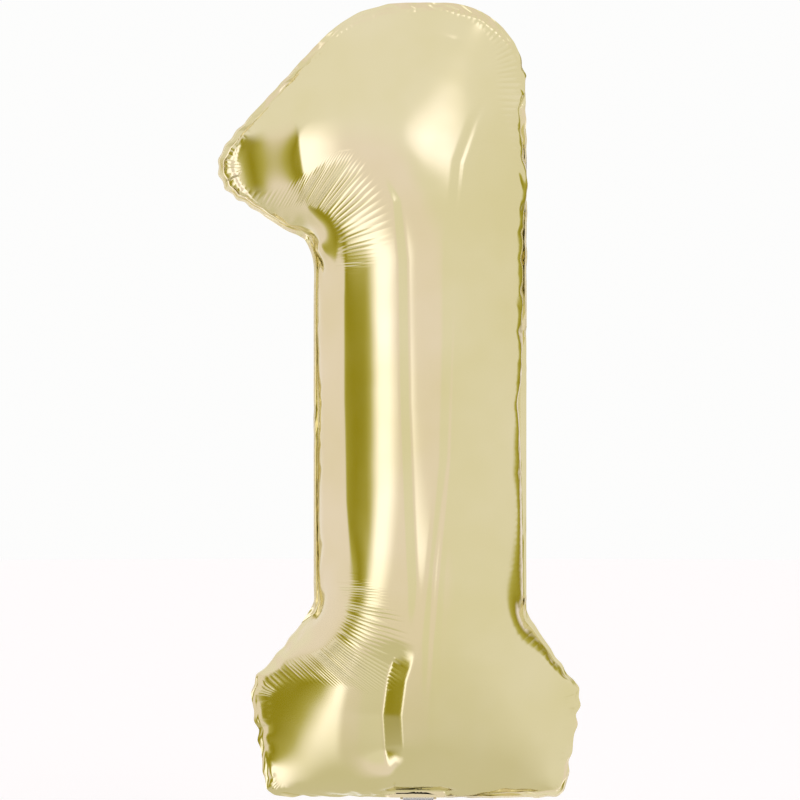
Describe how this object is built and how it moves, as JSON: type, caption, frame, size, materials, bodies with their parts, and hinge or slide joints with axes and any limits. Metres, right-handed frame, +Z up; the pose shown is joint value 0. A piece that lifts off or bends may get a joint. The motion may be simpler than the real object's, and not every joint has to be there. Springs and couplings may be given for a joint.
{
  "type": "foil number balloon",
  "caption": "Inflated foil balloon shaped as the figure 1, champagne gold, with a welded seam, a self-sealing film valve and a fold-over filling tail.",
  "frame": {"origin": "the neck under the bottom seam, where the ribbon is tied, in the plane of the seam", "axes": "+Z up along the figure's stem, -Y towards the viewer who reads the figure 1, +X to that viewer's right"},
  "size_m": [0.3825, 0.1618, 0.833],
  "materials": {
    "gold_foil": "mirror-bright champagne gold lacquer over vapour-deposited aluminium on thin plastic film",
    "seam_sealant": "heat-fused polyethylene sealant between the two films",
    "valve_film": "clear soft polyethylene film",
    "release_print": "thin heat-resist coating that stops the valve films from fusing"
  },
  "bodies": {
    "balloon": {"front_foil_panel": "gold_foil", "back_foil_panel": "gold_foil", "perimeter_weld": "seam_sealant", "neck_left_weld": "seam_sealant", "neck_right_weld": "seam_sealant", "valve_front_film": "valve_film", "valve_back_film": "valve_film", "valve_left_weld": "valve_film", "valve_right_weld": "valve_film", "valve_release_print": "release_print"},
    "tail": {"tail_front_film": "gold_foil", "tail_back_film": "gold_foil", "tail_valve_front_film": "valve_film", "tail_valve_back_film": "valve_film", "tail_left_weld": "seam_sealant", "tail_right_weld": "seam_sealant"}
  },
  "joints": [
    {"name": "tail_fold", "type": "hinge", "parent": "balloon", "child": "tail", "pos_m": [0, 0, -0.0028], "axis": [-1, 0, 0], "range_deg": [0, 270]}
  ]
}
